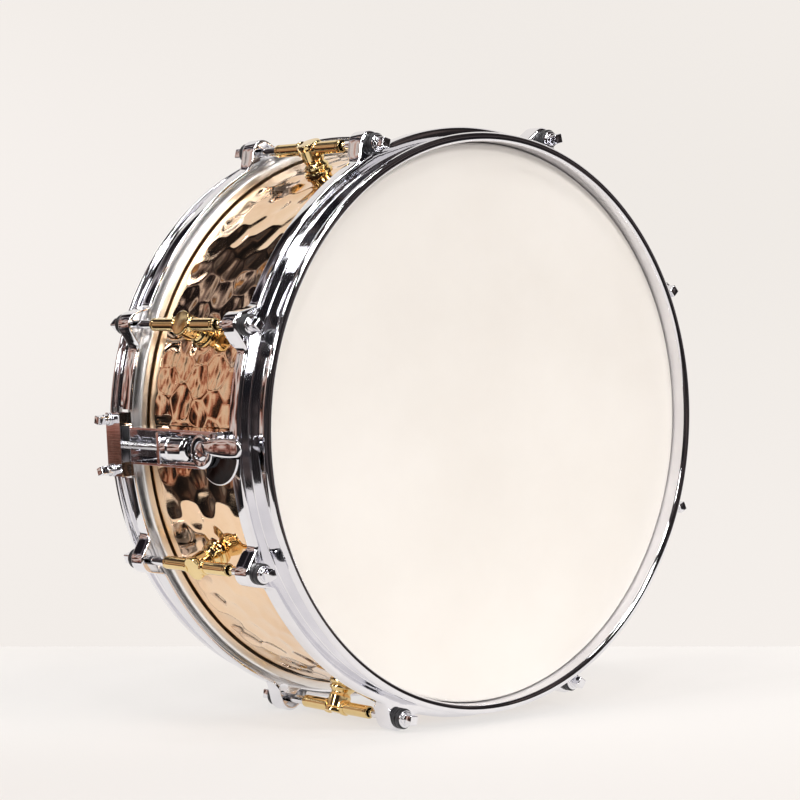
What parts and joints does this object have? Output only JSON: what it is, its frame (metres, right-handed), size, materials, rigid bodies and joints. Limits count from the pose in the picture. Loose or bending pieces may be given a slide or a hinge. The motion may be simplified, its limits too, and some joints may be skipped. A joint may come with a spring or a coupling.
{
  "type": "snare drum",
  "caption": "Snare drum with a hammered bronze shell, flanged chrome hoops, gold tube lugs, tension rods, a side throw-off and snare wires.",
  "frame": {"origin": "centre of the snare-side rim plane, on the drum's axis, the lowest plane of the drum", "axes": "+Z along the drum axis towards the batter head; -X towards the throw-off; +X towards the butt"},
  "size_m": [0.4116, 0.3778, 0.1612],
  "materials": {
    "hammered_bronze": "mirror-polished hammered bronze",
    "chrome_trim": "polished chrome",
    "coated_film": "rough white coating on polyester film",
    "clear_film": "hazy clear polyester film",
    "head_hoop_aluminium": "bright aluminium",
    "hoop_chrome": "mirror chrome",
    "gold_brass": "polished gold-coloured brass",
    "steel_screws": "plated steel",
    "dark_washers": "black nylon",
    "rod_chrome": "polished chrome",
    "strainer_chrome": "mirror chrome",
    "snare_steel": "bright coiled steel wire",
    "end_plate_brass": "satin brass",
    "black_paddle": "glossy black with a chrome-plated rolled rim",
    "strap_plastic": "black polyester ribbon"
  },
  "bodies": {
    "root": {"shell": "hammered_bronze", "vent_grommet": "chrome_trim", "batter_head": "coated_film", "batter_flesh_hoop": "head_hoop_aluminium", "snare_head": "clear_film", "snare_flesh_hoop": "head_hoop_aluminium", "batter_hoop": "hoop_chrome", "snare_hoop": "hoop_chrome", "lug_1": "gold_brass", "lug_2": "gold_brass", "lug_3": "gold_brass", "lug_4": "gold_brass", "lug_5": "gold_brass", "lug_6": "gold_brass", "lug_7": "gold_brass", "lug_8": "gold_brass", "lug_screws": "steel_screws", "shell_washers": "steel_screws", "batter_rod_washers": "dark_washers", "snare_rod_washers": "dark_washers", "strainer_frame": "strainer_chrome", "strainer_screws": "steel_screws", "butt_body": "strainer_chrome", "butt_clamp_plate": "strainer_chrome", "butt_clamp_screws": "strainer_chrome", "butt_screws": "steel_screws", "snare_wires": "snare_steel", "snare_end_plate_1": "end_plate_brass", "snare_end_plate_2": "end_plate_brass", "strainer_strap": "strap_plastic", "butt_strap": "strap_plastic"},
    "batter_rod_1": {"batter_rod_1": "rod_chrome"},
    "batter_rod_2": {"batter_rod_2": "rod_chrome"},
    "batter_rod_3": {"batter_rod_3": "rod_chrome"},
    "batter_rod_4": {"batter_rod_4": "rod_chrome"},
    "batter_rod_5": {"batter_rod_5": "rod_chrome"},
    "batter_rod_6": {"batter_rod_6": "rod_chrome"},
    "batter_rod_7": {"batter_rod_7": "rod_chrome"},
    "batter_rod_8": {"batter_rod_8": "rod_chrome"},
    "snare_rod_1": {"snare_rod_1": "rod_chrome"},
    "snare_rod_2": {"snare_rod_2": "rod_chrome"},
    "snare_rod_3": {"snare_rod_3": "rod_chrome"},
    "snare_rod_4": {"snare_rod_4": "rod_chrome"},
    "snare_rod_5": {"snare_rod_5": "rod_chrome"},
    "snare_rod_6": {"snare_rod_6": "rod_chrome"},
    "snare_rod_7": {"snare_rod_7": "rod_chrome"},
    "snare_rod_8": {"snare_rod_8": "rod_chrome"},
    "lever": {"throw_off_lever": "strainer_chrome", "lever_paddle": "black_paddle", "cam_spindle": "steel_screws", "lever_screw": "strainer_chrome"},
    "carriage": {"strainer_carriage": "strainer_chrome"},
    "knob": {"tension_knob": "strainer_chrome"},
    "clamp": {"tension_screw": "steel_screws", "strap_clamp_block": "strainer_chrome", "strap_clamp_jaw": "strainer_chrome", "strap_clamp_screws": "strainer_chrome"}
  },
  "joints": [
    {"name": "batter_rod_1_turn", "type": "hinge", "parent": "root", "child": "batter_rod_1", "pos_m": [0.17923, 0.07424, 0.13], "axis": [0, 0, 1], "continuous": true},
    {"name": "batter_rod_2_turn", "type": "hinge", "parent": "root", "child": "batter_rod_2", "pos_m": [0.07424, 0.17923, 0.13], "axis": [0, 0, 1], "continuous": true},
    {"name": "batter_rod_3_turn", "type": "hinge", "parent": "root", "child": "batter_rod_3", "pos_m": [-0.07424, 0.17923, 0.13], "axis": [0, 0, 1], "continuous": true},
    {"name": "batter_rod_4_turn", "type": "hinge", "parent": "root", "child": "batter_rod_4", "pos_m": [-0.17923, 0.07424, 0.13], "axis": [0, 0, 1], "continuous": true},
    {"name": "batter_rod_5_turn", "type": "hinge", "parent": "root", "child": "batter_rod_5", "pos_m": [-0.17923, -0.07424, 0.13], "axis": [0, 0, 1], "continuous": true},
    {"name": "batter_rod_6_turn", "type": "hinge", "parent": "root", "child": "batter_rod_6", "pos_m": [-0.07424, -0.17923, 0.13], "axis": [0, 0, 1], "continuous": true},
    {"name": "batter_rod_7_turn", "type": "hinge", "parent": "root", "child": "batter_rod_7", "pos_m": [0.07424, -0.17923, 0.13], "axis": [0, 0, 1], "continuous": true},
    {"name": "batter_rod_8_turn", "type": "hinge", "parent": "root", "child": "batter_rod_8", "pos_m": [0.17923, -0.07424, 0.13], "axis": [0, 0, 1], "continuous": true},
    {"name": "snare_rod_1_turn", "type": "hinge", "parent": "root", "child": "snare_rod_1", "pos_m": [0.17923, 0.07424, 0.033], "axis": [0, 0, 1], "continuous": true},
    {"name": "snare_rod_2_turn", "type": "hinge", "parent": "root", "child": "snare_rod_2", "pos_m": [0.07424, 0.17923, 0.033], "axis": [0, 0, 1], "continuous": true},
    {"name": "snare_rod_3_turn", "type": "hinge", "parent": "root", "child": "snare_rod_3", "pos_m": [-0.07424, 0.17923, 0.033], "axis": [0, 0, 1], "continuous": true},
    {"name": "snare_rod_4_turn", "type": "hinge", "parent": "root", "child": "snare_rod_4", "pos_m": [-0.17923, 0.07424, 0.033], "axis": [0, 0, 1], "continuous": true},
    {"name": "snare_rod_5_turn", "type": "hinge", "parent": "root", "child": "snare_rod_5", "pos_m": [-0.17923, -0.07424, 0.033], "axis": [0, 0, 1], "continuous": true},
    {"name": "snare_rod_6_turn", "type": "hinge", "parent": "root", "child": "snare_rod_6", "pos_m": [-0.07424, -0.17923, 0.033], "axis": [0, 0, 1], "continuous": true},
    {"name": "snare_rod_7_turn", "type": "hinge", "parent": "root", "child": "snare_rod_7", "pos_m": [0.07424, -0.17923, 0.033], "axis": [0, 0, 1], "continuous": true},
    {"name": "snare_rod_8_turn", "type": "hinge", "parent": "root", "child": "snare_rod_8", "pos_m": [0.17923, -0.07424, 0.033], "axis": [0, 0, 1], "continuous": true},
    {"name": "throw_off", "type": "hinge", "parent": "root", "child": "lever", "pos_m": [-0.195, 0, 0.1195], "axis": [-1, 0, 0], "range_deg": [0, 90]},
    {"name": "carriage_slide", "type": "slide", "parent": "root", "child": "carriage", "axis": [0, 0, 1], "range_m": [-0.00707, 0], "deforming": ["strainer_strap"]},
    {"name": "knob_turn", "type": "hinge", "parent": "carriage", "child": "knob", "pos_m": [-0.1928, 0, 0.085], "axis": [0, 0, 1], "range_deg": [-720, 720]},
    {"name": "clamp_slide", "type": "slide", "parent": "carriage", "child": "clamp", "axis": [0, 0, 1], "range_m": [-0.0016, 0.0016]}
  ],
  "couplings": [
    {"joint": "throw_off", "follows": "carriage_slide", "rad_per_m": -222.14},
    {"joint": "knob_turn", "follows": "clamp_slide", "rad_per_m": 7854}
  ]
}
